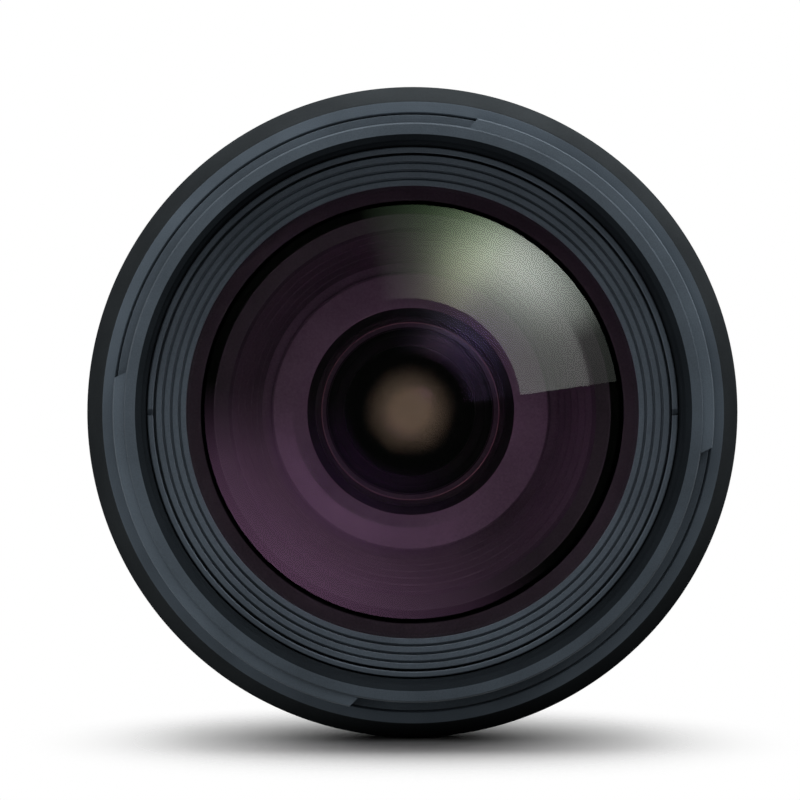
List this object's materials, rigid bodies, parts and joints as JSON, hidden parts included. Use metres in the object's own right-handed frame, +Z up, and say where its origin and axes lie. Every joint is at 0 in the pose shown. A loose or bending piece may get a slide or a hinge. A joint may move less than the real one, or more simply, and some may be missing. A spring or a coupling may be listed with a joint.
{
  "type": "wide_angle_lens",
  "caption": "Wide-angle autofocus lens for an interchangeable-lens camera, with ribbed focus ring, aperture ring, filter thread, hood bayonet and bayonet mount",
  "frame": {"origin": "middle of the mount's flange face, on the optical axis", "axes": "+Y points from the front glass back to the camera, +Z is up, +X is to the right from the front"},
  "size_m": [0.086, 0.0994, 0.086],
  "materials": {
    "coated_glass": "optical glass with anti-reflection coating",
    "clear_pane": "clear window pane",
    "satin_grey": "satin dark grey anodised aluminium",
    "black_metal": "black anodised aluminium",
    "black_plastic": "matt black plastic",
    "black_rubber": "ribbed black rubber",
    "black_steel": "blackened steel",
    "blade_steel": "thin blackened steel",
    "steel": "plain steel",
    "mount_chrome": "chromed brass, fine turned finish",
    "brass_cam": "brass",
    "gold_contacts": "gold plated contacts",
    "green_board": "circuit board"
  },
  "bodies": {
    "barrel": {"front_element": "coated_glass", "filter_ring": "satin_grey", "front_retaining_ring": "black_metal", "front_baffle_ring": "black_metal", "cell_screws": "black_steel", "front_cell": "black_metal", "ribbed_baffle": "black_plastic", "second_element": "coated_glass", "second_retaining_ring": "black_metal", "inner_cell": "black_metal", "front_sleeve": "black_plastic", "main_tube": "black_metal", "motor_stator": "steel", "motor_spring": "steel", "motor_collar": "steel", "outer_barrel": "black_metal", "scale_window": "clear_pane", "barrel_screws": "steel", "rear_barrel": "black_metal", "click_ball": "steel", "click_spring": "steel", "iris_housing": "black_metal", "iris_cover": "black_metal", "rear_doublet_front": "coated_glass", "rear_doublet_back": "coated_glass", "rear_element": "coated_glass", "doublet_retainer": "black_metal", "rear_retaining_ring": "black_metal", "rear_cell": "black_metal", "rear_sleeve": "black_metal", "mount_flange": "mount_chrome", "mount_screws": "steel", "rear_baffle": "black_plastic", "contact_block": "black_plastic", "contact_pins": "gold_contacts", "main_board": "green_board", "switch_plate": "black_plastic"},
    "focus_drive": {"focus_ring": "black_metal", "focus_grip": "black_rubber", "focus_key": "steel", "cam_ring": "brass_cam", "distance_scale": "black_metal", "motor_rotor": "steel"},
    "focus_group": {"focus_cell": "black_metal", "focus_lens_front": "coated_glass", "focus_lens_rear": "coated_glass", "focus_lens_retainer": "black_metal", "focus_rollers": "brass_cam", "roller_screws": "steel"},
    "aperture_drive": {"aperture_ring": "black_metal", "iris_lever": "steel", "iris_ring": "steel"},
    "mode_switch": {"focus_mode_switch": "black_plastic"},
    "blade_1": {"iris_blade_1": "blade_steel"},
    "blade_2": {"iris_blade_2": "blade_steel"},
    "blade_3": {"iris_blade_3": "blade_steel"},
    "blade_4": {"iris_blade_4": "blade_steel"},
    "blade_5": {"iris_blade_5": "blade_steel"},
    "blade_6": {"iris_blade_6": "blade_steel"},
    "blade_7": {"iris_blade_7": "blade_steel"}
  },
  "joints": [
    {"name": "focus_turn", "type": "hinge", "parent": "barrel", "child": "focus_drive", "pos_m": [0, 0, 0], "axis": [0, 1, 0], "range_deg": [0, 90]},
    {"name": "focus_slide", "type": "slide", "parent": "barrel", "child": "focus_group", "axis": [0, 1, 0], "range_m": [0, 0.0036]},
    {"name": "aperture_turn", "type": "hinge", "parent": "barrel", "child": "aperture_drive", "pos_m": [0, 0, 0], "axis": [0, 1, 0], "range_deg": [0, 42]},
    {"name": "blade_1_turn", "type": "hinge", "parent": "barrel", "child": "blade_1", "pos_m": [0.0162, 0, 0], "axis": [0, -1, 0], "range_deg": [0, 29.71]},
    {"name": "blade_2_turn", "type": "hinge", "parent": "barrel", "child": "blade_2", "pos_m": [0.0101, 0, 0.01267], "axis": [0, -1, 0], "range_deg": [0, 29.71]},
    {"name": "blade_3_turn", "type": "hinge", "parent": "barrel", "child": "blade_3", "pos_m": [-0.0036, 0, 0.01579], "axis": [0, -1, 0], "range_deg": [0, 29.71]},
    {"name": "blade_4_turn", "type": "hinge", "parent": "barrel", "child": "blade_4", "pos_m": [-0.0146, 0, 0.00703], "axis": [0, -1, 0], "range_deg": [0, 29.71]},
    {"name": "blade_5_turn", "type": "hinge", "parent": "barrel", "child": "blade_5", "pos_m": [-0.0146, 0, -0.00703], "axis": [0, -1, 0], "range_deg": [0, 29.71]},
    {"name": "blade_6_turn", "type": "hinge", "parent": "barrel", "child": "blade_6", "pos_m": [-0.0036, 0, -0.01579], "axis": [0, -1, 0], "range_deg": [0, 29.71]},
    {"name": "blade_7_turn", "type": "hinge", "parent": "barrel", "child": "blade_7", "pos_m": [0.0101, 0, -0.01267], "axis": [0, -1, 0], "range_deg": [0, 29.71]},
    {"name": "mode_slide", "type": "slide", "parent": "barrel", "child": "mode_switch", "axis": [0, 0, 1], "range_m": [0, 0.003]}
  ],
  "couplings": [
    {"joint": "focus_slide", "follows": "focus_turn", "m_per_rad": 0.0022918},
    {"joint": "blade_1_turn", "follows": "aperture_turn", "ratio": 0.70681},
    {"joint": "blade_2_turn", "follows": "aperture_turn", "ratio": 0.70681},
    {"joint": "blade_3_turn", "follows": "aperture_turn", "ratio": 0.70681},
    {"joint": "blade_4_turn", "follows": "aperture_turn", "ratio": 0.70681},
    {"joint": "blade_5_turn", "follows": "aperture_turn", "ratio": 0.70681},
    {"joint": "blade_6_turn", "follows": "aperture_turn", "ratio": 0.70681},
    {"joint": "blade_7_turn", "follows": "aperture_turn", "ratio": 0.70681}
  ]
}
